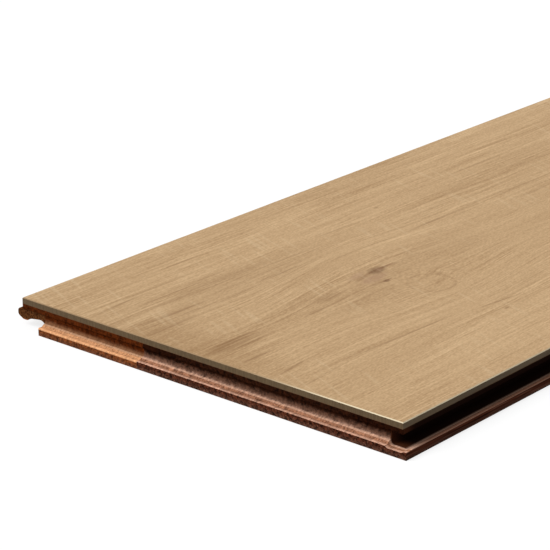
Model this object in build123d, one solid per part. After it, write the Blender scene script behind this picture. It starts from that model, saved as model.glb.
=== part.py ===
"""Engineered floorboard: an oak wear layer bonded to a hardwood core with a click joint milled on all four edges.

Millimetres. +X runs along the board, +Y across it, +Z up. The underside lies on Z = 0 and the origin is at the
middle of the board's outer size. The near end and the near long side (-X and -Y) have a groove and a lower lip,
and the far end and the far long side (+X and +Y) have the tongue that locks into them.
"""
import os

from build123d import *

# Board
LENGTH = 1220.0  # face, end to end
WIDTH = 220.0  # face, side to side
WEAR_THICKNESS = 3.0  # sawn oak layer
CORE_THICKNESS = 11.0  # machined board under it
ARRIS = 0.4  # bevel round the wear layer's upper edges
FIT = 0.1  # play between surfaces that bear on each other in a closed joint

# Long joint, groove side
UPPER_LIP = 2.5  # core left above the groove
GROOVE_DEPTH = 6.2  # from the face's edge to the back of the groove
HOLLOW_HEIGHT = 2.85  # lower lip at its hollow
RIDGE_HEIGHT = 3.85  # lower lip at its outer ridge
LONG_LIP = 5.1  # reach of the long lower lip past the face
RIDGE_WIDTH = 0.8  # flat top of the ridge
FLANK_RUN = 1.9  # width of the sloping flank that locks
HOLLOW_ROUND = 1.8  # back of the groove, where it runs into the hollow
FLANK_ROUND = 1.2  # foot of the flank
EDGE_ROUND = 0.25  # milled edges

# Long joint, tongue side
NOSE_GAP = 2.4  # free depth of the groove ahead of the tongue's nose
NOSE_HEIGHT = 3.2  # front of the nose, before it is rounded
NOSE_DROP = 0.5  # fall of the tongue's top, from its root to the nose
NOSE_ROUND = 1.6  # corners of the nose
CHEEK_RUN = 3.3  # width of the sloping underside of the nose
RIDGE_GAP = 0.35  # room over the neighbour's ridge
FLANK_GAP = 0.3  # room between the two flanks
LIP_ROOM = 9.2  # room between the neighbour's lip and the shoulder
CEILING_RISE = 1.6  # rise of the recess from the neighbour's ridge to the shoulder
SHOULDER_ROUND = 3.8  # hollow corner under the core, in front of the shoulder

# End joint
END_UPPER_LIP = 2.45  # core left above the end groove
END_GROOVE = 0.7  # depth of the end groove behind the face's edge
END_LIP = 4.3  # reach of the end's lower lip past the face
CREST_HEIGHT = 4.6  # inner crest of the end lip
CREST_REACH = 0.8  # place of that crest past the face
COVE_ROUND = 1.3  # cove between the end wall and the crest
END_RIDGE_HEIGHT = 3.75  # end lip at its outer ridge
END_RIDGE_WIDTH = 0.7  # flat top of that ridge
DISH_DEPTH = 0.15  # shallow dish behind the end ridge, below its top
END_NOSE_GAP = 0.2  # free depth ahead of the end tongue
END_NOSE_HEIGHT = 1.8  # upright front of the end tongue
END_LIP_ROOM = 0.4  # room between the neighbour's end lip and the shoulder

GROOVE_TOP = CORE_THICKNESS - UPPER_LIP
END_GROOVE_TOP = CORE_THICKNESS - END_UPPER_LIP
LONG_NOSE = GROOVE_DEPTH - NOSE_GAP
END_NOSE = END_GROOVE - END_NOSE_GAP

# An edge is a list of corners from the core's upper face to its underside. Each corner has its reach past the
# face's edge, its height and its rounding.


def long_groove_edge():
    """Near long side: a deep groove over a lip with a hollow and a locking ridge."""
    ridge_start = LONG_LIP - RIDGE_WIDTH
    return [
        (0, CORE_THICKNESS, 0),
        (0, GROOVE_TOP, EDGE_ROUND),
        (-GROOVE_DEPTH, GROOVE_TOP, EDGE_ROUND),
        (-GROOVE_DEPTH, HOLLOW_HEIGHT, HOLLOW_ROUND),
        (ridge_start - FLANK_RUN, HOLLOW_HEIGHT, FLANK_ROUND),
        (ridge_start, RIDGE_HEIGHT, EDGE_ROUND),
        (LONG_LIP, RIDGE_HEIGHT, EDGE_ROUND),
        (LONG_LIP, 0, 0),
    ]


def long_tongue_edge():
    """Far long side: a round-nosed tongue whose underside sits in the hollow, and a recess over the ridge."""
    tongue_top = GROOVE_TOP - FIT
    nose_top = tongue_top - NOSE_DROP
    nose_foot = nose_top - NOSE_HEIGHT
    bulge = HOLLOW_HEIGHT + FIT
    ceiling = RIDGE_HEIGHT + RIDGE_GAP
    flank_end = FLANK_GAP - (LONG_LIP - RIDGE_WIDTH)
    shoulder = -(LONG_LIP + LIP_ROOM)
    return [
        (0, CORE_THICKNESS, 0),
        (0, tongue_top, 0),
        (LONG_NOSE, nose_top, NOSE_ROUND),
        (LONG_NOSE, nose_foot, NOSE_ROUND),
        (LONG_NOSE - CHEEK_RUN, bulge, FLANK_ROUND),
        (flank_end + FLANK_RUN, bulge, FLANK_ROUND),
        (flank_end, ceiling, FLANK_ROUND),
        (shoulder, ceiling + CEILING_RISE, SHOULDER_ROUND),
        (shoulder, 0, 0),
    ]


def end_groove_edge():
    """Near end: a shallow wall that runs down a cove to a crest, then a dished lip with a ridge along its edge."""
    ridge_start = END_LIP - END_RIDGE_WIDTH
    dish = (CREST_REACH + ridge_start) / 2
    return [
        (0, CORE_THICKNESS, 0),
        (0, END_GROOVE_TOP, EDGE_ROUND),
        (-END_GROOVE, END_GROOVE_TOP, EDGE_ROUND),
        (-END_GROOVE, CREST_HEIGHT, COVE_ROUND),
        (CREST_REACH, CREST_HEIGHT, 0),
        (dish, END_RIDGE_HEIGHT - DISH_DEPTH, FLANK_ROUND),
        (ridge_start, END_RIDGE_HEIGHT, 0),
        (END_LIP, END_RIDGE_HEIGHT, EDGE_ROUND),
        (END_LIP, 0, 0),
    ]


def end_tongue_edge():
    """Far end: a short tongue for the end groove, and a recess over the neighbour's end lip."""
    tongue_top = END_GROOVE_TOP - FIT
    ceiling = CREST_HEIGHT + FIT
    shoulder = -(END_LIP + END_LIP_ROOM)
    return [
        (0, CORE_THICKNESS, 0),
        (0, tongue_top, 0),
        (END_NOSE, tongue_top, EDGE_ROUND),
        (END_NOSE, tongue_top - END_NOSE_HEIGHT, EDGE_ROUND),
        (-CREST_REACH, ceiling, EDGE_ROUND),
        (shoulder, ceiling, EDGE_ROUND),
        (shoulder, 0, 0),
    ]


def core_section(near_edge, far_edge, face):
    """Section of the core across a face of the given size, centred on its outer size."""
    near_reach = max(reach for reach, _, _ in near_edge)
    far_reach = max(reach for reach, _, _ in far_edge)
    middle = (near_reach - far_reach) / 2
    far = [(middle + face / 2 + reach, height, rounding) for reach, height, rounding in far_edge]
    near = [(middle - face / 2 - reach, height, rounding) for reach, height, rounding in near_edge]
    outline = far + near[::-1]
    corners = [(across, height) for across, height, _ in outline]
    roundings = [rounding for _, _, rounding in outline]
    return make_face(FilletPolyline(*corners, radius=roundings, close=True))


def core_board():
    """Core: both pairs of edges milled along its whole length and width."""
    across = core_section(long_groove_edge(), long_tongue_edge(), WIDTH)
    along = core_section(end_groove_edge(), end_tongue_edge(), LENGTH)
    board = extrude(Plane.YZ * across, LENGTH, both=True) & extrude(Plane.XZ * along, WIDTH, both=True)
    return board - corner_notch()


def corner_notch():
    """Room cut from the end lip beside the long tongue: the lip stops at the shoulder, and the tongue at the wall."""
    near_end = -(END_LIP + LENGTH + END_NOSE) / 2
    far_side = (LONG_LIP + WIDTH + LONG_NOSE) / 2
    notch = Box(
        END_LIP + END_GROOVE,
        LONG_NOSE + LONG_LIP + LIP_ROOM,
        END_GROOVE_TOP,
        align=(Align.MIN, Align.MAX, Align.MIN),
    )
    return Pos(near_end, far_side) * notch


def wear_layer():
    """Oak layer over the whole face of the core, with its upper edges bevelled."""
    face_middle = Pos((END_LIP - END_NOSE) / 2, (LONG_LIP - LONG_NOSE) / 2, CORE_THICKNESS)
    layer = Box(LENGTH, WIDTH, WEAR_THICKNESS, align=(Align.CENTER, Align.CENTER, Align.MIN))
    upper_edges = layer.faces().sort_by(Axis.Z)[-1].edges()
    return face_middle * chamfer(upper_edges, ARRIS)


os.makedirs("parts", exist_ok=True)
for name, piece in {"core_board": core_board(), "wear_layer": wear_layer()}.items():
    export_step(piece, f"parts/{name}.step")
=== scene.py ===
"""Looks of the engineered floorboard: a sawn oak wear layer on a dark core with raw milled joints.

Metres, in the part's own frame: +X along the board, +Y across it, +Z up, with the underside on Z = 0.
"""
import math
from typing import NamedTuple

import bmesh
import bpy
import numpy as np
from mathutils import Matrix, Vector


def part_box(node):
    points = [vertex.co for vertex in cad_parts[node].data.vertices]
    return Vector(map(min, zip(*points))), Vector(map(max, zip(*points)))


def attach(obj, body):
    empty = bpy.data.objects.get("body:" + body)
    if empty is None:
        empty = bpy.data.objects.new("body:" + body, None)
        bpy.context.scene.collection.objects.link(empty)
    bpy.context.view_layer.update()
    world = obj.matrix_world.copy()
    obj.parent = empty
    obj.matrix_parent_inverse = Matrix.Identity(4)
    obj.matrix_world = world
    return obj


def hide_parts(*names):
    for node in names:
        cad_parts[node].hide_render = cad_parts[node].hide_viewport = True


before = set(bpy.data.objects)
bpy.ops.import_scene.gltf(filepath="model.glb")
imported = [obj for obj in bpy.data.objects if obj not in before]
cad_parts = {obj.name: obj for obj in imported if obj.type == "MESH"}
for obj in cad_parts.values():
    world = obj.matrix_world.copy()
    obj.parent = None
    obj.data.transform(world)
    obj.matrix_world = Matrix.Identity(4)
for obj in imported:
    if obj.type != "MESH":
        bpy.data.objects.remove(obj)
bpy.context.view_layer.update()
OAK_LOW, OAK_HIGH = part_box("wear_layer")
CORE_LOW, CORE_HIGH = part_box("core_board")
MM = 0.001


def linear(red, green, blue):
    """Linear colour of a colour given as it looks on a screen, from 0 to 255."""
    shares = [channel / 255 for channel in (red, green, blue)]
    levels = [share / 12.92 if share <= 0.04045 else ((share + 0.055) / 1.055) ** 2.4 for share in shares]
    return (*levels, 1.0)


def grey(level):
    return (level, level, level, 1.0)


# Camera, at the photograph's viewing angle
CAMERA_PLACE = (-1.3263, -0.6487, 0.4118)
CAMERA_AZIMUTH = -49.784
CAMERA_ELEVATION = 20.430
LENS = 158.4

# Light and floor
SKY_LIGHT = 0.42
KEY_STRENGTH = 2.35
KEY_SPREAD = 38.0
KEY_FROM = (-0.55, 0.45, 0.70)
FLOOR_SIZE = 60.0
FLOOR_GREY = 0.42
FLOOR_SEEN = 0.25
FLOOR_GLOW = 0.80

# Click joint of the core, in millimetres
CORE_THICKNESS = CORE_HIGH.z / MM
LONG_LIP = (OAK_LOW.y - CORE_LOW.y) / MM
LONG_NOSE = (CORE_HIGH.y - OAK_HIGH.y) / MM
END_LIP = (OAK_LOW.x - CORE_LOW.x) / MM
END_NOSE = (CORE_HIGH.x - OAK_HIGH.x) / MM
FIT = 0.1
EDGE_ROUND = 0.25
FLANK_ROUND = 1.2
GROOVE_TOP = CORE_THICKNESS - 2.5
GROOVE_DEPTH = 6.2
HOLLOW_HEIGHT = 2.85
HOLLOW_ROUND = 1.8
RIDGE_HEIGHT = 3.85
RIDGE_WIDTH = 0.8
FLANK_RUN = 1.9
NOSE_DROP = 0.5
NOSE_HEIGHT = 3.2
NOSE_ROUND = 1.6
CHEEK_RUN = 3.3
RIDGE_GAP = 0.35
FLANK_GAP = 0.3
LIP_ROOM = 9.2
SHOULDER_SETBACK = LONG_LIP + LIP_ROOM
CEILING_RISE = 1.6
SHOULDER_ROUND = 3.8
END_GROOVE_TOP = CORE_THICKNESS - 2.45
END_GROOVE = 0.7
CREST_HEIGHT = 4.6
CREST_REACH = 0.8
COVE_ROUND = 1.3
END_RIDGE_HEIGHT = 3.75
END_RIDGE_WIDTH = 0.7
DISH_DEPTH = 0.15
END_NOSE_HEIGHT = 1.8
END_LIP_ROOM = 0.4

# Fineness of the arcs in millimetres, how far a cutting solid stands past the core, and shading of edges
ARC_TOLERANCE = 0.005
SPARE = 5.0
SHARP_ANGLE = math.radians(30)
FLAT_FACE_WEIGHT = 100

# Relief of the oak's sawn face
ARRIS = 0.4 * MM
CELLS_ALONG = 900
CELLS_ACROSS = 96
GRAIN_DEPTH = 0.05 * MM
GRAIN_PITCH = (130 * MM, 5 * MM)
GRAIN_SEED = 3
SAW_DEPTH = 0.03 * MM
SAW_PITCH = (4 * MM, 80 * MM)
SAW_SEED = 5
SAW_SLANT = 0.4
KNOT_DEPTH = 0.12 * MM


class Mark(NamedTuple):
    """A mark in the oak: the place of its middle on the face, half its length and width, strength and tilt.

    Places are millimetres from the near end and from the near long side, and a tilt is in degrees.
    """

    along: float
    across: float
    length: float
    width: float
    shade: float
    tilt: float = 0.0


# Marks in the oak
KNOTS = [
    Mark(133.4, 117.7, 8.0, 5.0, 0.62, 10),
    Mark(125.7, 105.8, 2.8, 2.0, 0.6, 6),
    Mark(748, 61, 10.0, 5.5, 0.7, 4),
    Mark(1018, 172, 4.5, 2.8, 0.6, -6),
]
# Where the fibres part round a knot
SWIRLS = [
    Mark(138, 103, 90, 60, 0.3),
    Mark(748, 61, 65, 34, 0.4),
    Mark(1018, 172, 36, 16, 0.4),
]
# Rings of grain beside a knot, which push the fibres aside by their strength in millimetres
EYES = [
    Mark(137, 88, 20, 19, 2.5),
    Mark(760, 44, 24, 15, 2.5),
]
STREAKS = [
    Mark(80, 196, 18, 0.9, 0.5),
    Mark(60, 158, 110, 24, 0.12),
    Mark(48, 171, 40, 0.9, 0.4),
    Mark(110, 161, 30, 0.8, 0.4, -1),
    Mark(66, 147, 26, 0.8, 0.4, 2),
    Mark(22, 179.5, 23, 1.0, 0.55, 3),
    Mark(70, 165, 62, 5.0, 0.3),
    Mark(90, 156.5, 42, 1.4, 0.45),
    Mark(30, 153.2, 30, 1.8, 0.6, -2),
    Mark(30, 149, 32, 1.2, 0.55, -2),
    Mark(100, 150, 24, 1.6, 0.5),
    Mark(18, 144, 24, 4.5, 0.4),
    Mark(23, 111.5, 21, 1.5, 0.6),
    Mark(20, 108, 24, 5.0, 0.55),
    Mark(24, 104, 17, 1.0, 0.55),
    Mark(91, 112.5, 15, 5.0, 0.4),
    Mark(95, 111.7, 6, 2.6, 0.35),
    Mark(15, 91, 14, 1.0, 0.55),
    Mark(17, 71.8, 13, 1.0, 0.5, 7),
    Mark(18, 56, 17, 0.9, 0.45, 4),
    Mark(76, 57.5, 46, 0.9, 0.5, -3),
    Mark(137, 50, 22, 0.9, 0.45, -8),
    Mark(149, 91.5, 2.6, 7.0, 0.25, -10),
    Mark(121, 116.2, 10, 1.6, 0.6, 6),
    Mark(144, 117.2, 10, 1.4, 0.55, -2),
    Mark(158, 117.6, 15, 2.6, 0.3),
    Mark(119, 106.5, 8, 2.0, 0.35),
    Mark(135, 112, 32, 16, 0.14),
    Mark(170, 112, 52, 17, 0.13),
    Mark(100, 100, 34, 15, 0.13),
    Mark(73, 105.5, 9, 2.2, 0.3),
    Mark(165, 168.5, 20, 0.9, 0.4),
    Mark(205.7, 174.5, 2.2, 1.2, 0.6),
    Mark(133.1, 42.4, 2.4, 1.3, 0.6),
    Mark(214, 140, 38, 1.1, 0.45),
    Mark(300, 178, 34, 1.2, 0.35),
]
# Brown tinge round a knot
BLUSHES = [
    Mark(124, 112, 13, 5.5, 0.55, 6),
    Mark(122, 120, 11, 3.2, 0.5, 6),
    Mark(738, 55, 20, 9, 0.5),
]
PALE_PLACES = [
    Mark(190, 182, 110, 30, 0.06),
    Mark(120, 30, 90, 36, 0.06),
]
DARK_PLACES = [
    Mark(0, 115, 32, 78, 0.13),
]
# Where the grain is faint
CALM_PLACES = [
    Mark(235, 112, 95, 38, 0.6),
    Mark(70, 45, 160, 70, 0.28),
]
# Where the arris carries a painted highlight, strongest round the near corner
ARRIS_HIGHLIGHT_PLACE = Mark(0, 0, 200, 90, 0.9)


class Grain(NamedTuple):
    """One kind of streak: its length and width in millimetres, and its strength."""

    length: float
    width: float
    strength: float


# Grain of the oak
PORES = Grain(1.5, 0.6, 0.36)
GRAIN = [
    Grain(5, 1.2, 0.08),
    Grain(14, 0.7, 0.16),
    Grain(45, 0.8, 0.31),
    Grain(80, 2.5, 0.15),
    Grain(110, 8.0, 0.1),
    Grain(220, 20.0, 0.14),
]


class Pattern(NamedTuple):
    """Noise from 0 to 1, by the size of its blots in millimetres along the board, across it and through it.

    As a cover it shows nothing at the level low and all at the level high.
    """

    along: float
    across: float
    through: float
    detail: float = 2.0
    roughness: float = 0.5
    low: float = 0.3
    high: float = 0.7


# Patterns of the oak
WANDER = Pattern(300, 120, 1000)
WAVER = Pattern(40, 10, 1000)
BUSY_PATCH = Pattern(50, 12, 12)
FINE_LINE = Pattern(50, 1.2, 3, detail=1.0, low=0.64, high=0.78)
FIBRE = Pattern(30, 0.9, 3, detail=1.0, low=0.2, high=0.55)
BLOTCH = Pattern(7, 2.5, 3, low=0.25, high=0.6)
SAW_LINE = Pattern(2.4, 30, 1, detail=0.0, low=0.62, high=0.74)
SAW_PATCH = Pattern(70, 50, 1000, low=0.4, high=0.62)
SIDE_RAY = Pattern(30, 0.7, 4)
RAISED_FIBRE = Pattern(10, 0.5, 1)

# How far the oak's fibres stray, and how its marks show
WANDER_SHIFT = 10 * MM
WAVER_SHIFT = 1.5 * MM
MIDDLE_SHADE = 0.5
LEAST_BUSY = 0.5
LINE_STRENGTH = 0.26
SAW_STRENGTH = 0.19
SAW_RISE = 0.25
MARK_HEART = 0.3

# Rings of an eye and parts of a knot, whose sizes are shares of the eye's or the knot's own
RINGS_TO_EDGE = 6.0
RING_DETAIL = 1.0
RING_ROUGHNESS = 0.5
RING_LEVELS = (0.5, 0.66)
RINGED_SPAN = (0.4, 0.9)
RINGED_BLUR = 0.3
RING_STRENGTH = 0.3
TAIL_LENGTH = 2.4
TAIL_WIDTH = 0.4
TAIL_TILT = 0.5
PITH_SIZE = 0.4
PITH_SHIFT = 0.2
PITH_STRENGTH = 0.5

# How far the oak's surface faces up, 0 on its sides and 1 on its face, where the sides end and on the arris
SIDE_ENDS = (0.35, 0.6)
ARRIS_SPAN = (0.55, 0.85)
ARRIS_BLUR = 0.1

# Colours and finish of the oak
OAK_PALE = linear(230, 196, 151)
OAK_DARK = linear(159, 121, 79)
LINE_TONE = linear(142, 106, 64)
STREAK_TONE = linear(140, 102, 62)
BLUSH_TONE = linear(178, 140, 110)
RING_TONE = linear(146, 108, 68)
TAIL_TONE = linear(138, 98, 62)
KNOT_TONE = linear(108, 70, 38)
PITH_TONE = linear(168, 132, 100)
SAW_TONE = linear(230, 204, 164)
SIDE_DARK = linear(87, 69, 45)
SIDE_PALE = linear(102, 83, 57)
ARRIS_TONE = linear(158, 128, 92)
# Painted highlight on the arris
ARRIS_HIGHLIGHT_TONE = linear(236, 220, 186)
OAK_ROUGHNESS = 0.5
FIBRE_ROUGHNESS = 0.2
OAK_SHINE = 0.25
OAK_BUMP = 0.12 * MM
OAK_BUMP_STRENGTH = 0.25

# Strips of the core, by the place of their joints in millimetres from the near long side of the face
FAR_STRIP_START = 144.0
MIDDLE_STRIP_END = 124.5
MIDDLE_STRIP_START = 27.0
STRIP_JOINT = 0.4
TONGUE_START = (OAK_HIGH.y - OAK_LOW.y) / MM - SHOULDER_SETBACK


class Strip(NamedTuple):
    """Colours of one strip of the core at the near end, from its stained wall down to the front of its lip.

    The wall is stained down to the height called depth, and the front's top is at front_top, in millimetres.
    """

    depth: float
    stain: tuple
    fade: tuple
    bared: tuple
    # A painted highlight along the sharp edge where the cove meets the lip
    crest_highlight: tuple
    lip: tuple
    # A painted highlight along the raised outer edge of the lip, which also covers the front above front_top
    ridge_highlight: tuple
    front: tuple
    front_top: float


# The two kinds of strip; the colours of the lip's milled edges are painted highlights
NEAR_STRIP = Strip(
    depth=7.05,
    stain=linear(35, 13, 4),
    fade=linear(107, 77, 62),
    bared=linear(183, 146, 126),
    crest_highlight=linear(208, 162, 136),
    lip=linear(168, 117, 89),
    ridge_highlight=linear(221, 171, 145),
    front=linear(80, 40, 25),
    front_top=3.7,
)
FAR_STRIP = Strip(
    depth=6.15,
    stain=linear(80, 35, 9),
    fade=linear(134, 94, 66),
    bared=linear(190, 148, 115),
    crest_highlight=linear(200, 154, 120),
    lip=linear(210, 153, 110),
    ridge_highlight=linear(245, 181, 131),
    front=linear(124, 66, 30),
    # Set lower than on the near strip, so that the painted highlight of the lip's outer edge runs down the
    # top of the front
    front_top=3.1,
)

# Where a strip's colours change, in millimetres: above its stained depth, and past the near end of the face
STAIN_FADES = (0.8, -1.8)
WOOD_IS_BARE = (-1.7, -3.0)
# Where the painted highlight along the edge between the cove and the lip lies
CREST_HIGHLIGHT_SPAN = (0.3, 1.0)
CREST_HIGHLIGHT_BLUR = 0.3
LIP_STARTS = (1.0, 1.4)
# Where the painted highlight along the lip's raised outer edge starts
RIDGE_HIGHLIGHT_STARTS = (2.3, 3.4)
STAIN_RAGGED = 1.6

# Heights on the core in millimetres between which its colours change
WALL_STARTS = (5.5, 7.0)
FRONT_EDGE = 0.2
FOOT_GREYS = (2.6, 0.6)
TONGUE_STARTS = (GROOVE_TOP, GROOVE_TOP - 0.5)
TONGUE_FOOT_STARTS = (3.6, 3.1)
GROOVE_FLOOR = (0.5, 1.0)
LONG_LIP_FLOOR = (HOLLOW_HEIGHT - 0.15, HOLLOW_HEIGHT - 0.05)
UPPER_FACE = (CORE_THICKNESS - 0.1, CORE_THICKNESS - 0.05)
UNDERSIDE = (0.05, 0.0)

# Places of the same kind past the near long side of the face
NEAR_SIDE = (-1.0, 0.0)
GROOVE_BACK = (-GROOVE_DEPTH - 0.8, -GROOVE_DEPTH - 0.3)
# The groove's dark stain reaches out to here over the inner part of the lip, where it is painted shade
GROOVE_STAIN_AND_SHADE_EDGE = (2.6, 0.6)
LONG_LIP_STARTS = (1.6, 3.0)
SHOULDER_EDGE = (-TONGUE_START, -TONGUE_START - 1.0)

# Places of the same kind past the near end of the face
GROOVE_STARTS = (0.0, -0.6)
# Where painted light brightens the long groove's mouth, by the near end
GROOVE_PAINTED_LIGHT_SPAN = (-9.0, -1.0)
LONG_LIP_DARKENS = (2.0, -16.0)

# How squarely a surface of the core faces a way to count as facing it, and not to count as facing another
FACES_SIDE = (0.4, 0.7)
FACES_OFF = (0.6, 0.3)

# Patterns of the core
DOT = Pattern(3, 1.7, 1.5, roughness=0.8)
LONG_STREAK = Pattern(60, 1.1, 1.1, roughness=0.8)
GRIT = Pattern(14, 0.7, 0.7, roughness=0.6)
BRUSH = Pattern(5, 1.8, 1.8, roughness=0.6)
STRAND = Pattern(90, 1.2, 1.2, detail=3.0, roughness=0.6)
GOLDEN_PATCH = Pattern(160, 16, 16, low=0.52, high=0.66)

# Levels of the grit between which it shows as pores and fibres, and how strongly they show
LIP_PORES = (0.5, 0.68)
LIP_PORE_STRENGTH = 0.6
END_FIBRES = (0.56, 0.72)
END_FIBRE_STRENGTH = 0.4
FRONT_PORES = (0.46, 0.3)
FRONT_PORE_STRENGTH = 0.6
FRONT_FIBRES = (0.54, 0.7)
FRONT_FIBRE_STRENGTH = 0.5
TONGUE_MOTTLES = (0.35, 0.65)

# How strongly the core's specks show, with the change on its far strip and on the end's wall
LIP_SPECKS = 2.5
LIP_SPECKS_FAR = -1.2
WALL_SPECKS = 2.2
FRONT_SPECKS = 5.6
FRONT_SPECKS_FAR = -1.9
DARKEST_SPECK = 0.2

# How strongly other colours of the core show
MIDDLE_STRENGTH = 0.12
FOOT_STRENGTH = 0.3
LONG_LIP_STRENGTH = 0.85
GOLD_STRENGTH = 0.5

# Colours and finish of the core
MIDDLE_TONE = linear(70, 40, 26)
FIBRE_TONE = linear(64, 32, 18)
FRONT_DARK = linear(38, 18, 10)
FRONT_PALE = linear(118, 86, 70)
FRONT_FOOT = linear(104, 82, 70)
# Stain deep in the long groove, also painted shade over the inner part of its lip
GROOVE_STAIN_AND_SHADE = linear(26, 10, 4)
# Painted light at the long groove's mouth by the near end
GROOVE_MOUTH_PAINTED_LIGHT = linear(64, 33, 18)
LONG_LIP_TONE = linear(114, 74, 55)
TONGUE_DARK = linear(58, 26, 8)
TONGUE_PALE = linear(112, 70, 38)
TONGUE_FOOT = linear(176, 112, 74)
STRAND_DARK = linear(62, 32, 19)
STRAND_PALE = linear(118, 72, 44)
STRAND_GOLD = linear(138, 88, 40)
CORE_ROUGHNESS = 0.8
CORE_SHINE = 0.02
CORE_BUMP = 0.15 * MM
CORE_BUMP_STRENGTH = 0.4


class Surface:
    """A material whose nodes are added by short calls. An input is a number, a colour or a node's output."""

    def __init__(self, name):
        self.material = bpy.data.materials.new(name)
        self.material.use_nodes = True
        self.tree = self.material.node_tree
        self.shader = self.tree.nodes["Principled BSDF"]
        self.place = self.add("ShaderNodeTexCoord").outputs["Object"]
        self.x, self.y, self.z = self.add("ShaderNodeSeparateXYZ", Vector=self.place).outputs
        normal = self.add("ShaderNodeNewGeometry").outputs["Normal"]
        self.face_x, self.face_y, self.face_z = self.add("ShaderNodeSeparateXYZ", Vector=normal).outputs

    def feed(self, socket, source):
        if isinstance(source, bpy.types.NodeSocket):
            self.tree.links.new(source, socket)
        else:
            socket.default_value = source

    def add(self, kind, settings=None, **inputs):
        node = self.tree.nodes.new(kind)
        for name, value in (settings or {}).items():
            setattr(node, name, value)
        for name, source in inputs.items():
            self.feed(node.inputs[name], source)
        return node

    def math(self, operation, *values):
        node = self.add("ShaderNodeMath", {"operation": operation})
        for socket, value in zip(node.inputs, values):
            self.feed(socket, value)
        return node.outputs[0]

    def times(self, *values):
        product = values[0]
        for value in values[1:]:
            product = self.math("MULTIPLY", product, value)
        return product

    def most(self, *values):
        largest = values[0]
        for value in values[1:]:
            largest = self.math("MAXIMUM", largest, value)
        return largest

    def rest(self, value):
        return self.math("SUBTRACT", 1.0, value)

    def step(self, value, low, high):
        """Runs smoothly from 0 at low to 1 at high."""
        node = self.add("ShaderNodeMapRange", {"interpolation_type": "SMOOTHSTEP"}, Value=value)
        self.feed(node.inputs["From Min"], low)
        self.feed(node.inputs["From Max"], high)
        return node.outputs[0]

    def band(self, value, low, high, soft):
        """1 between low and high, and 0 further off than soft."""
        rise = self.step(value, low - soft, low)
        return self.math("MULTIPLY", rise, self.step(value, high + soft, high))

    def shade(self, tone, share):
        """Colour made darker or lighter by a factor."""
        node = self.add("ShaderNodeVectorMath", {"operation": "SCALE"}, Scale=share)
        self.feed(node.inputs[0], tone)
        return node.outputs[0]

    def mix(self, share, first, second):
        node = self.add("ShaderNodeMix", {"data_type": "RGBA"})
        self.feed(node.inputs["Factor"], share)
        self.feed(node.inputs[6], first)
        self.feed(node.inputs[7], second)
        return node.outputs[2]

    def joined(self, x, y, z):
        return self.add("ShaderNodeCombineXYZ", X=x, Y=y, Z=z).outputs[0]

    def noise(self, place, detail, roughness):
        node = self.add("ShaderNodeTexNoise", Vector=place, Scale=1.0, Detail=detail, Roughness=roughness)
        return node.outputs[0]

    def blots(self, place, pattern):
        node = self.add("ShaderNodeVectorMath", {"operation": "DIVIDE"})
        self.feed(node.inputs[0], place)
        self.feed(node.inputs[1], (pattern.along * MM, pattern.across * MM, pattern.through * MM))
        return self.noise(node.outputs[0], pattern.detail, pattern.roughness)

    def cover(self, place, pattern):
        return self.step(self.blots(place, pattern), pattern.low, pattern.high)

    def centred(self, value):
        """A value from 0 to 1, moved to lie about 0."""
        return self.math("SUBTRACT", value, 0.5)

    def away(self, mark):
        """0 in the middle of a mark and 1 at its edge."""
        node = self.add(
            "ShaderNodeMapping",
            {"vector_type": "TEXTURE"},
            Vector=self.place,
            Location=(OAK_LOW.x + mark.along * MM, OAK_LOW.y + mark.across * MM, OAK_HIGH.z),
            Rotation=(0.0, 0.0, math.radians(mark.tilt)),
            Scale=(mark.length * MM, mark.width * MM, 1.0),
        )
        far = self.add("ShaderNodeVectorMath", {"operation": "LENGTH"})
        self.feed(far.inputs[0], node.outputs[0])
        return far.outputs["Value"]

    def spot(self, mark):
        """1 in the middle of a mark, running out to 0 at its edge."""
        return self.step(self.away(mark), 1.0, MARK_HEART)

    def spots(self, marks):
        """Strongest of several marks."""
        return self.most(*[self.times(self.spot(mark), mark.shade) for mark in marks])

    def bump(self, height, depth, strength):
        node = self.add("ShaderNodeBump", Height=height, Distance=depth, Strength=strength)
        return node.outputs[0]

    def dress(self, **inputs):
        for name, source in inputs.items():
            self.feed(self.shader.inputs[name.replace("_", " ")], source)
        return self.material


def fibre_place(wood):
    """Place on the oak by its fibres, which wander a little, part round knots and ring the eyes."""
    wander = wood.centred(wood.blots(wood.place, WANDER))
    across = wood.math("MULTIPLY_ADD", wander, WANDER_SHIFT, wood.y)
    waver = wood.centred(wood.blots(wood.place, WAVER))
    across = wood.math("MULTIPLY_ADD", waver, WAVER_SHIFT, across)
    for swirl in SWIRLS:
        off = wood.math("SUBTRACT", wood.y, OAK_LOW.y + swirl.across * MM)
        across = wood.math("MULTIPLY_ADD", off, wood.times(wood.spot(swirl), -swirl.shade), across)
    for eye in EYES:
        across = wood.math("MULTIPLY_ADD", wood.spot(eye), eye.shade * MM, across)
    return wood.joined(wood.x, across, wood.z)


def grain_shade(wood, fibres, grain):
    """Dark and pale streaks of one kind, about 0."""
    streaks = wood.blots(fibres, Pattern(grain.length, grain.width, grain.width, detail=0.0))
    return wood.times(wood.centred(streaks), grain.strength)


def grain_tone(wood, fibres):
    """Colour of the sawn face by its pores, its fine lines and its streaks, which are stronger in patches."""
    busy = wood.math("ADD", wood.cover(fibres, BUSY_PATCH), LEAST_BUSY)
    busy = wood.times(busy, wood.rest(wood.spots(CALM_PLACES)))
    dark = wood.math("ADD", grain_shade(wood, fibres, PORES), MIDDLE_SHADE)
    for grain in GRAIN:
        dark = wood.math("MULTIPLY_ADD", grain_shade(wood, fibres, grain), busy, dark)
    dark = wood.math("SUBTRACT", dark, wood.spots(PALE_PLACES))
    dark = wood.math("ADD", dark, wood.spots(DARK_PLACES))
    tone = wood.mix(wood.step(dark, 0.0, 1.0), OAK_PALE, OAK_DARK)
    return wood.mix(wood.times(wood.cover(fibres, FINE_LINE), LINE_STRENGTH), tone, LINE_TONE)


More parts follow.
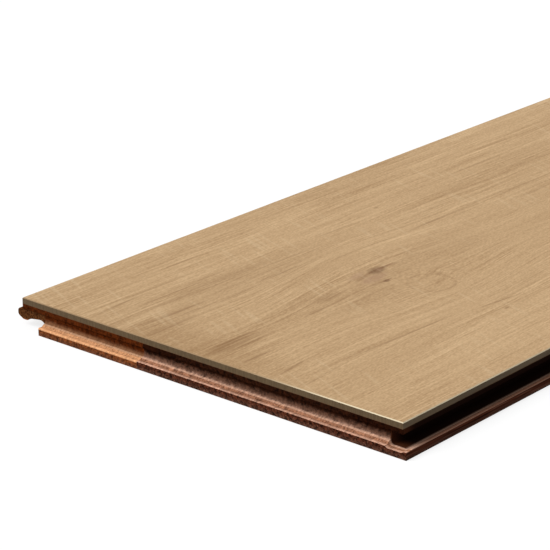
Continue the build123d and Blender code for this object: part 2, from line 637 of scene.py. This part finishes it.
def marked_tone(wood, fibres, tone):
    """Colour with the streaks, blushes, eyes and knots of this one face."""
    fibrous = wood.cover(fibres, FIBRE)
    blotchy = wood.cover(fibres, BLOTCH)
    tone = wood.mix(wood.times(wood.spots(STREAKS), fibrous), tone, STREAK_TONE)
    tone = wood.mix(wood.times(wood.spots(BLUSHES), blotchy), tone, BLUSH_TONE)
    for eye in EYES:
        far = wood.away(eye)
        ring_place = wood.joined(wood.times(far, RINGS_TO_EDGE), 0.0, eye.along)
        rings = wood.step(wood.noise(ring_place, RING_DETAIL, RING_ROUGHNESS), *RING_LEVELS)
        ringed = wood.times(rings, wood.band(far, *RINGED_SPAN, RINGED_BLUR), blotchy)
        tone = wood.mix(wood.times(ringed, RING_STRENGTH), tone, RING_TONE)
    for knot in KNOTS:
        tails = knot._replace(
            length=knot.length * TAIL_LENGTH,
            width=knot.width * TAIL_WIDTH,
            tilt=knot.tilt * TAIL_TILT,
        )
        pith = knot._replace(
            along=knot.along + knot.length * PITH_SHIFT,
            length=knot.length * PITH_SIZE,
            width=knot.width * PITH_SIZE,
        )
        tone = wood.mix(wood.times(wood.spot(tails), knot.shade, fibrous), tone, TAIL_TONE)
        tone = wood.mix(wood.times(wood.spot(knot), knot.shade), tone, KNOT_TONE)
        tone = wood.mix(wood.times(wood.spot(pith), PITH_STRENGTH), tone, PITH_TONE)
    return tone


def saw_marks(wood):
    """Pale lines that the saw left across the grain, in patches."""
    sawn = wood.math("MULTIPLY_ADD", wood.y, -SAW_SLANT, wood.x)
    lines = wood.cover(wood.joined(sawn, wood.y, 0.0), SAW_LINE)
    return wood.times(lines, wood.cover(wood.place, SAW_PATCH))


def oak_material():
    wood = Surface("sawn_oak")
    fibres = fibre_place(wood)
    saw = saw_marks(wood)
    tone = marked_tone(wood, fibres, grain_tone(wood, fibres))
    tone = wood.mix(wood.times(saw, SAW_STRENGTH), tone, SAW_TONE)

    side = wood.mix(wood.cover(wood.place, SIDE_RAY), SIDE_DARK, SIDE_PALE)
    tone = wood.mix(wood.step(wood.face_z, *SIDE_ENDS), side, tone)
    # Painted highlight on the arris, strongest round the near corner
    arris = wood.mix(wood.spots([ARRIS_HIGHLIGHT_PLACE]), ARRIS_TONE, ARRIS_HIGHLIGHT_TONE)
    tone = wood.mix(wood.band(wood.face_z, *ARRIS_SPAN, ARRIS_BLUR), tone, arris)

    raised = wood.blots(fibres, RAISED_FIBRE)
    height = wood.math("MULTIPLY_ADD", saw, SAW_RISE, raised)
    return wood.dress(
        Base_Color=tone,
        Roughness=wood.math("MULTIPLY_ADD", raised, FIBRE_ROUGHNESS, OAK_ROUGHNESS),
        Specular_IOR_Level=OAK_SHINE,
        Normal=wood.bump(height, OAK_BUMP, OAK_BUMP_STRENGTH),
    )


class CorePoint(NamedTuple):
    """Outputs that say where a point of the core is, and what its wood is like there.

    reach and out are millimetres past the near end and the near long side of the face, and height is
    millimetres above the underside. far is 1 on the far strip, and upright is 1 on an upright face.
    """

    reach: bpy.types.NodeSocket
    out: bpy.types.NodeSocket
    height: bpy.types.NodeSocket
    far: bpy.types.NodeSocket
    upright: bpy.types.NodeSocket
    grit: bpy.types.NodeSocket
    specks: bpy.types.NodeSocket


def core_specks(wood, out):
    """Pores and fibres of the core, from -0.5 to 0.5: dots on its ends, and streaks along its long sides."""
    dots = wood.blots(wood.place, DOT)
    streaks = wood.blots(wood.place, LONG_STREAK)
    faces_side = wood.step(wood.math("ABSOLUTE", wood.face_y), *FACES_SIDE)
    off_end = wood.step(wood.math("ABSOLUTE", wood.face_x), *FACES_OFF)
    sides = wood.times(wood.most(wood.step(out, *NEAR_SIDE), faces_side), off_end)
    specks = wood.math("MULTIPLY_ADD", wood.math("SUBTRACT", streaks, dots), sides, dots)
    return wood.centred(specks)


def core_point(wood):
    out = wood.math("MULTIPLY_ADD", wood.y, -1 / MM, OAK_LOW.y / MM)
    return CorePoint(
        reach=wood.math("MULTIPLY_ADD", wood.x, -1 / MM, OAK_LOW.x / MM),
        out=out,
        height=wood.math("DIVIDE", wood.z, MM),
        far=wood.step(out, -FAR_STRIP_START, -FAR_STRIP_START - STRIP_JOINT),
        upright=wood.step(wood.math("ABSOLUTE", wood.face_z), *FACES_OFF),
        grit=wood.blots(wood.place, GRIT),
        specks=core_specks(wood, out),
    )


def speckled(wood, tone, specks, strength):
    """Colour with the dark pores and pale fibres of end grain."""
    return wood.shade(tone, wood.most(wood.math("MULTIPLY_ADD", specks, strength, 1.0), DARKEST_SPECK))


def strip_tone(wood, point, strip, height):
    """Colour of a strip at the near end, by how far it reaches past the face and by its height."""
    fading = wood.step(height, *[strip.depth + change for change in STAIN_FADES])
    tone = wood.mix(fading, strip.stain, strip.fade)
    baring = wood.step(height, *[strip.depth + change for change in WOOD_IS_BARE])
    tone = wood.mix(baring, tone, strip.bared)
    # Painted highlight along the edge between the cove and the lip
    tone = wood.mix(wood.band(point.reach, *CREST_HIGHLIGHT_SPAN, CREST_HIGHLIGHT_BLUR), tone, strip.crest_highlight)
    lip = wood.mix(wood.times(wood.step(point.grit, *LIP_PORES), LIP_PORE_STRENGTH), strip.lip, strip.front)
    tone = wood.mix(wood.step(point.reach, *LIP_STARTS), tone, lip)
    # Painted highlight along the raised outer edge of the lip
    return wood.mix(wood.step(point.reach, *RIDGE_HIGHLIGHT_STARTS), tone, strip.ridge_highlight)


def end_tone(wood, point):
    """Stained wall and bare milled lip of the near end, strip by strip, with painted highlights along the
    lip's milled edges and a ragged edge to the stain.
    """
    brush = wood.centred(wood.blots(wood.place, BRUSH))
    ragged = wood.math("MULTIPLY_ADD", brush, STAIN_RAGGED, point.height)
    near_tone = strip_tone(wood, point, NEAR_STRIP, ragged)
    far_tone = strip_tone(wood, point, FAR_STRIP, ragged)
    tone = wood.mix(point.far, near_tone, far_tone)
    middle = wood.band(point.out, -MIDDLE_STRIP_END, -MIDDLE_STRIP_START, STRIP_JOINT)
    tone = wood.mix(wood.times(middle, MIDDLE_STRENGTH), tone, MIDDLE_TONE)
    tone = wood.mix(wood.times(wood.step(point.grit, *END_FIBRES), END_FIBRE_STRENGTH), tone, FIBRE_TONE)
    strength = wood.math("MULTIPLY_ADD", point.far, LIP_SPECKS_FAR, LIP_SPECKS)
    strength = wood.math("MULTIPLY_ADD", wood.step(point.height, *WALL_STARTS), WALL_SPECKS, strength)
    return speckled(wood, tone, point.specks, strength)


def add_fronts(wood, point, tone):
    """Coarse dark grain on the fronts of the lips, greyer towards the underside."""
    front = wood.mix(point.far, NEAR_STRIP.front, FAR_STRIP.front)
    pores = wood.step(point.grit, *FRONT_PORES)
    front = wood.mix(wood.times(pores, FRONT_PORE_STRENGTH), front, FRONT_DARK)
    fibres = wood.step(point.grit, *FRONT_FIBRES)
    front = wood.mix(wood.times(fibres, FRONT_FIBRE_STRENGTH), front, FRONT_PALE)
    front = wood.mix(wood.times(wood.step(point.height, *FOOT_GREYS), FOOT_STRENGTH), front, FRONT_FOOT)
    strength = wood.math("MULTIPLY_ADD", point.far, FRONT_SPECKS_FAR, FRONT_SPECKS)
    front = speckled(wood, front, point.specks, strength)
    # Above front_top the front keeps the painted highlight of the lip's outer edge
    below_near = wood.step(point.height, NEAR_STRIP.front_top, NEAR_STRIP.front_top - FRONT_EDGE)
    below_far = wood.step(point.height, FAR_STRIP.front_top, FAR_STRIP.front_top - FRONT_EDGE)
    below = wood.most(below_far, wood.times(below_near, wood.rest(point.far)))
    return wood.mix(wood.times(point.upright, below), tone, front)


def add_long_groove(wood, point, tone):
    """Dark stained depths of the long groove, with painted light at its mouth so that it is darker further in
    from the near end, the same dark reaching out over the inner part of its lip as painted shade, and its
    bare lip.
    """
    groove = wood.times(
        wood.step(point.reach, *GROOVE_STARTS),
        wood.step(point.out, *GROOVE_BACK),
        wood.step(point.out, *GROOVE_STAIN_AND_SHADE_EDGE),
        wood.step(point.height, *GROOVE_FLOOR),
    )
    # Painted light at the groove's mouth, and painted shade over the inner part of the lip
    depths = wood.mix(wood.step(point.reach, *GROOVE_PAINTED_LIGHT_SPAN), GROOVE_STAIN_AND_SHADE, GROOVE_MOUTH_PAINTED_LIGHT)
    tone = wood.mix(groove, tone, depths)
    lip = wood.times(
        wood.step(point.reach, *LONG_LIP_DARKENS),
        wood.step(point.out, *LONG_LIP_STARTS),
        wood.step(point.height, *LONG_LIP_FLOOR),
        wood.step(point.upright, 1.0, 0.0),
    )
    return wood.mix(wood.times(lip, LONG_LIP_STRENGTH), tone, LONG_LIP_TONE)


def add_long_tongue(wood, point, tone):
    """Mottled long tongue, paler at its foot."""
    mottled = wood.mix(wood.step(point.grit, *TONGUE_MOTTLES), TONGUE_DARK, TONGUE_PALE)
    mottled = wood.mix(wood.step(point.height, *TONGUE_FOOT_STARTS), mottled, TONGUE_FOOT)
    tongue = wood.times(wood.step(point.out, *SHOULDER_EDGE), wood.step(point.height, *TONGUE_STARTS))
    return wood.mix(tongue, tone, mottled)


def add_flat_faces(wood, point, tone):
    """Brown strands and golden patches on the core's upper face and underside."""
    strand = wood.mix(wood.cover(wood.place, STRAND), STRAND_DARK, STRAND_PALE)
    strand = wood.mix(wood.times(wood.cover(wood.place, GOLDEN_PATCH), GOLD_STRENGTH), strand, STRAND_GOLD)
    flat = wood.most(wood.step(point.height, *UPPER_FACE), wood.step(point.height, *UNDERSIDE))
    return wood.mix(flat, tone, strand)


def core_material():
    wood = Surface("core_wood")
    point = core_point(wood)
    tone = end_tone(wood, point)
    for add_part in (add_fronts, add_long_groove, add_long_tongue, add_flat_faces):
        tone = add_part(wood, point, tone)
    return wood.dress(
        Base_Color=tone,
        Roughness=CORE_ROUGHNESS,
        Specular_IOR_Level=CORE_SHINE,
        Normal=wood.bump(point.grit, CORE_BUMP, CORE_BUMP_STRENGTH),
    )


# Edges of the core from its upper face down: reach past the face, height, and rounding of each corner
def long_groove_edge():
    ridge_start = LONG_LIP - RIDGE_WIDTH
    return [
        (0, CORE_THICKNESS, 0),
        (0, GROOVE_TOP, EDGE_ROUND),
        (-GROOVE_DEPTH, GROOVE_TOP, EDGE_ROUND),
        (-GROOVE_DEPTH, HOLLOW_HEIGHT, HOLLOW_ROUND),
        (ridge_start - FLANK_RUN, HOLLOW_HEIGHT, FLANK_ROUND),
        (ridge_start, RIDGE_HEIGHT, EDGE_ROUND),
        (LONG_LIP, RIDGE_HEIGHT, EDGE_ROUND),
        (LONG_LIP, 0, 0),
    ]


def long_tongue_edge():
    tongue_top = GROOVE_TOP - FIT
    nose_top = tongue_top - NOSE_DROP
    nose_foot = nose_top - NOSE_HEIGHT
    bulge = HOLLOW_HEIGHT + FIT
    ceiling = RIDGE_HEIGHT + RIDGE_GAP
    flank_end = FLANK_GAP - (LONG_LIP - RIDGE_WIDTH)
    return [
        (0, CORE_THICKNESS, 0),
        (0, tongue_top, 0),
        (LONG_NOSE, nose_top, NOSE_ROUND),
        (LONG_NOSE, nose_foot, NOSE_ROUND),
        (LONG_NOSE - CHEEK_RUN, bulge, FLANK_ROUND),
        (flank_end + FLANK_RUN, bulge, FLANK_ROUND),
        (flank_end, ceiling, FLANK_ROUND),
        (-SHOULDER_SETBACK, ceiling + CEILING_RISE, SHOULDER_ROUND),
        (-SHOULDER_SETBACK, 0, 0),
    ]


def end_groove_edge():
    ridge_start = END_LIP - END_RIDGE_WIDTH
    dish = (CREST_REACH + ridge_start) / 2
    return [
        (0, CORE_THICKNESS, 0),
        (0, END_GROOVE_TOP, EDGE_ROUND),
        (-END_GROOVE, END_GROOVE_TOP, EDGE_ROUND),
        (-END_GROOVE, CREST_HEIGHT, COVE_ROUND),
        (CREST_REACH, CREST_HEIGHT, 0),
        (dish, END_RIDGE_HEIGHT - DISH_DEPTH, FLANK_ROUND),
        (ridge_start, END_RIDGE_HEIGHT, 0),
        (END_LIP, END_RIDGE_HEIGHT, EDGE_ROUND),
        (END_LIP, 0, 0),
    ]


def end_tongue_edge():
    tongue_top = END_GROOVE_TOP - FIT
    ceiling = CREST_HEIGHT + FIT
    shoulder = -(END_LIP + END_LIP_ROOM)
    return [
        (0, CORE_THICKNESS, 0),
        (0, tongue_top, 0),
        (END_NOSE, tongue_top, EDGE_ROUND),
        (END_NOSE, tongue_top - END_NOSE_HEIGHT, EDGE_ROUND),
        (-CREST_REACH, ceiling, EDGE_ROUND),
        (shoulder, ceiling, EDGE_ROUND),
        (shoulder, 0, 0),
    ]


def arc(corner, before, after, rounding):
    """Points of the arc that rounds a corner between the corners before and after it, in millimetres."""
    back = (before - corner).normalized()
    onward = (after - corner).normalized()
    half_angle = back.angle(onward) / 2
    centre = corner + (back + onward).normalized() * (rounding / math.sin(half_angle))
    start = corner + back * (rounding / math.tan(half_angle)) - centre
    end = corner + onward * (rounding / math.tan(half_angle)) - centre
    steps = math.ceil(start.angle(end) / (2 * math.acos(1 - ARC_TOLERANCE / rounding)))
    turns = [start.normalized().slerp(end.normalized(), step / steps) for step in range(steps + 1)]
    return [centre + turn * rounding for turn in turns]


def outline(near_edge, far_edge, near_face, far_face):
    """Closed outline of the core in metres, with each rounded corner as a fine arc."""
    far = [(far_face / MM + reach, height, rounding) for reach, height, rounding in far_edge]
    near = [(near_face / MM - reach, height, rounding) for reach, height, rounding in near_edge]
    corners = far + near[::-1]
    places = [Vector(corner[:2]) for corner in corners]
    points = []
    for index, place in enumerate(places):
        rounding = corners[index][2]
        if rounding:
            points += arc(place, places[index - 1], places[(index + 1) % len(places)], rounding)
        else:
            points.append(place)
    return [point * MM for point in points]


def add_object(name, points, faces):
    mesh = bpy.data.meshes.new(name)
    mesh.from_pydata(points, [], faces)
    made = bpy.data.objects.new(name, mesh)
    bpy.context.scene.collection.objects.link(made)
    return made


def prism(name, first, second):
    """Closed solid between two like outlines."""
    count = len(first)
    sides = [(i, (i + 1) % count, count + (i + 1) % count, count + i) for i in range(count)]
    caps = [tuple(range(count)), tuple(range(count, 2 * count))]
    made = add_object(name, first + second, sides + caps)
    work = bmesh.new()
    work.from_mesh(made.data)
    bmesh.ops.recalc_face_normals(work, faces=work.faces)
    work.to_mesh(made.data)
    work.free()
    return made


def combine(target, other, operation):
    change = target.modifiers.new(operation, "BOOLEAN")
    change.operation = operation
    change.solver = "EXACT"
    change.object = other


def smooth(piece):
    """Soft shading over arcs, with flat faces kept flat."""
    piece.data.shade_smooth()
    piece.data.set_sharp_from_angle(angle=SHARP_ANGLE)
    weights = piece.modifiers.new("flat_faces", "WEIGHTED_NORMAL")
    weights.keep_sharp = True
    weights.weight = FLAT_FACE_WEIGHT


def milled_core():
    """Core with fine arcs: the long joint's section run along the board, cut by the end joint's section.

    At the corner of the near end and the long tongue, a notch stops the end lip and the tongue.
    """
    across = outline(long_groove_edge(), long_tongue_edge(), OAK_LOW.y, OAK_HIGH.y)
    along = outline(end_groove_edge(), end_tongue_edge(), OAK_LOW.x, OAK_HIGH.x)
    ends = [CORE_LOW.x - SPARE * MM, CORE_HIGH.x + SPARE * MM]
    sides = [CORE_LOW.y - SPARE * MM, CORE_HIGH.y + SPARE * MM]
    long_cut = prism("long_cut", *[[(x, y, z) for y, z in across] for x in ends])
    end_cut = prism("end_cut", *[[(x, y, z) for x, z in along] for y in sides])

    wall = OAK_LOW.x + END_GROOVE * MM
    shoulder = OAK_HIGH.y - SHOULDER_SETBACK * MM
    notch_floor = [(ends[0], shoulder), (wall, shoulder), (wall, sides[1]), (ends[0], sides[1])]
    notch_heights = [-SPARE * MM, END_GROOVE_TOP * MM]
    notch = prism("notch", *[[(x, y, z) for x, y in notch_floor] for z in notch_heights])

    combine(long_cut, end_cut, "INTERSECT")
    combine(long_cut, notch, "DIFFERENCE")
    shaped = long_cut.evaluated_get(bpy.context.evaluated_depsgraph_get())
    core = bpy.data.objects.new("milled_core", bpy.data.meshes.new_from_object(shaped))
    bpy.context.scene.collection.objects.link(core)
    for helper in (long_cut, end_cut, notch):
        bpy.data.objects.remove(helper)
    smooth(core)
    return core


def eased(share):
    """A share from 0 to 1 that starts and ends slowly."""
    return share ** 2 * (3 - 2 * share)


def lattice_noise(x, y, pitch, seed):
    """Smooth noise from -1 to 1, the same on every run."""
    along = (x - x.min()) / pitch[0]
    across = (y - y.min()) / pitch[1]
    size = (int(along.max()) + 2, int(across.max()) + 2)
    lattice = np.random.default_rng(seed).uniform(-1, 1, size)
    column = along.astype(int)
    row = across.astype(int)
    share = eased(along - column)
    near = lattice[column, row] * (1 - share) + lattice[column + 1, row] * share
    far = lattice[column, row + 1] * (1 - share) + lattice[column + 1, row + 1] * share
    share = eased(across - row)
    return near * (1 - share) + far * share


def sawn_relief(x, y):
    """Depth of the sawn face under its highest point: raised grain, saw waves across it and sunken knots."""
    grain = lattice_noise(x, y, GRAIN_PITCH, GRAIN_SEED)
    saw = lattice_noise(x - SAW_SLANT * y, y, SAW_PITCH, SAW_SEED)
    depth = GRAIN_DEPTH * (1 + grain) / 2 + SAW_DEPTH * (1 + saw) / 2
    for knot in KNOTS:
        along = (x - OAK_LOW.x - knot.along * MM) / (knot.length * MM)
        across = (y - OAK_LOW.y - knot.across * MM) / (knot.width * MM)
        depth = depth + KNOT_DEPTH * np.exp(-along ** 2 - across ** 2)
    return depth


def grid_faces(number):
    """Faces of a grid of numbered points."""
    corners = [number[:-1, :-1], number[1:, :-1], number[1:, 1:], number[:-1, 1:]]
    return np.stack(corners, axis=-1).reshape(-1, 4).tolist()


def wall_faces(inner, outer):
    """Faces between two closed rows of numbered points."""
    faces = []
    for i in range(len(inner)):
        j = (i + 1) % len(inner)
        faces.append([int(inner[j]), int(inner[i]), int(outer[i]), int(outer[j])])
    return faces


def underside_faces(foot):
    """Faces across the board between the points of its lower rim, which start at the near corner."""
    near_side = foot[:CELLS_ALONG + 1]
    far_end = foot[CELLS_ALONG + 1:CELLS_ALONG + CELLS_ACROSS]
    far_side = foot[CELLS_ALONG + CELLS_ACROSS:2 * CELLS_ALONG + CELLS_ACROSS + 1][::-1]
    near_end = foot[2 * CELLS_ALONG + CELLS_ACROSS + 1:]
    faces = []
    for i in range(CELLS_ALONG):
        face = [near_side[i]]
        face += near_end[::-1] if i == 0 else []
        face += [far_side[i], far_side[i + 1]]
        face += far_end[::-1] if i == CELLS_ALONG - 1 else []
        face += [near_side[i + 1]]
        faces.append(face)
    return faces


def oak_layer():
    """Wear layer with a finely divided sawn face, eased upper edges, plain sides and a plain underside."""
    along = np.linspace(OAK_LOW.x + ARRIS, OAK_HIGH.x - ARRIS, CELLS_ALONG + 1)
    across = np.linspace(OAK_LOW.y + ARRIS, OAK_HIGH.y - ARRIS, CELLS_ACROSS + 1)
    x, y = np.meshgrid(along, across, indexing="ij")
    top = np.stack([x, y, OAK_HIGH.z - sawn_relief(x, y)], axis=-1).reshape(-1, 3)
    number = np.arange(x.size).reshape(x.shape)
    rim = np.concatenate([number[:, 0], number[-1, 1:], number[-2::-1, -1], number[0, -2:0:-1]])

    upper = top[rim]
    upper[upper[:, 0] == along[0], 0] = OAK_LOW.x
    upper[upper[:, 0] == along[-1], 0] = OAK_HIGH.x
    upper[upper[:, 1] == across[0], 1] = OAK_LOW.y
    upper[upper[:, 1] == across[-1], 1] = OAK_HIGH.y
    upper[:, 2] = OAK_HIGH.z - ARRIS
    lower = upper.copy()
    lower[:, 2] = OAK_LOW.z

    edge = number.size + np.arange(len(rim))
    foot = edge + len(rim)
    faces = grid_faces(number) + wall_faces(rim, edge) + wall_faces(edge, foot)
    faces += underside_faces(foot.tolist())
    layer = add_object("oak_layer", np.concatenate([top, upper, lower]).tolist(), faces)
    smooth(layer)
    return layer


def floor_material():
    """White to the camera except in the board's shadow, and grey to the light that bounces off it."""
    surface = Surface("floor")
    rays = surface.add("ShaderNodeLightPath").outputs
    seen = surface.most(rays["Is Camera Ray"], rays["Is Glossy Ray"], rays["Is Transmission Ray"])
    return surface.dress(
        Base_Color=surface.mix(seen, grey(FLOOR_GREY), grey(FLOOR_SEEN)),
        Roughness=1.0,
        Specular_IOR_Level=0.0,
        Emission_Color=grey(1.0),
        Emission_Strength=surface.times(seen, FLOOR_GLOW),
    )


def make_floor():
    half = FLOOR_SIZE / 2
    corners = [(-half, -half, 0), (half, -half, 0), (half, half, 0), (-half, half, 0)]
    floor = add_object("floor", corners, [(0, 1, 2, 3)])
    floor.data.materials.append(floor_material())


def make_sky():
    """Even light from all round, and white to the camera."""
    world = bpy.data.worlds.new("sky")
    bpy.context.scene.world = world
    world.use_nodes = True
    tree = world.node_tree
    sky = tree.nodes["Background"]
    rays = tree.nodes.new("ShaderNodeLightPath").outputs
    strength = tree.nodes.new("ShaderNodeMapRange")
    tree.links.new(rays["Is Camera Ray"], strength.inputs["Value"])
    strength.inputs["To Min"].default_value = SKY_LIGHT
    strength.inputs["To Max"].default_value = 1.0
    sky.inputs["Color"].default_value = grey(1.0)
    tree.links.new(strength.outputs[0], sky.inputs["Strength"])


def make_key_light():
    key = bpy.data.lights.new("key", "SUN")
    key.energy = KEY_STRENGTH
    key.angle = math.radians(KEY_SPREAD)
    lamp = bpy.data.objects.new("key", key)
    lamp.rotation_mode = "QUATERNION"
    lamp.rotation_quaternion = Vector(KEY_FROM).to_track_quat("Z", "Y")
    bpy.context.scene.collection.objects.link(lamp)


def make_camera():
    camera = bpy.data.objects.new("camera", bpy.data.cameras.new("camera"))
    camera.data.lens = LENS
    turn = math.radians(CAMERA_AZIMUTH)
    rise = math.radians(CAMERA_ELEVATION)
    back = Vector((math.sin(turn) * math.cos(rise), -math.cos(turn) * math.cos(rise), math.sin(rise)))
    camera.location = CAMERA_PLACE
    camera.rotation_mode = "QUATERNION"
    camera.rotation_quaternion = (-back).to_track_quat("-Z", "Y")
    bpy.context.scene.collection.objects.link(camera)
    bpy.context.scene.camera = camera


def place_piece(piece, node, material):
    piece.data.materials.clear()
    piece.data.materials.append(material)
    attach(piece, "root")
    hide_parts(node)


bpy.context.scene.view_settings.view_transform = "Standard"
place_piece(oak_layer(), "wear_layer", oak_material())
place_piece(milled_core(), "core_board", core_material())
make_floor()
make_sky()
make_key_light()
make_camera()
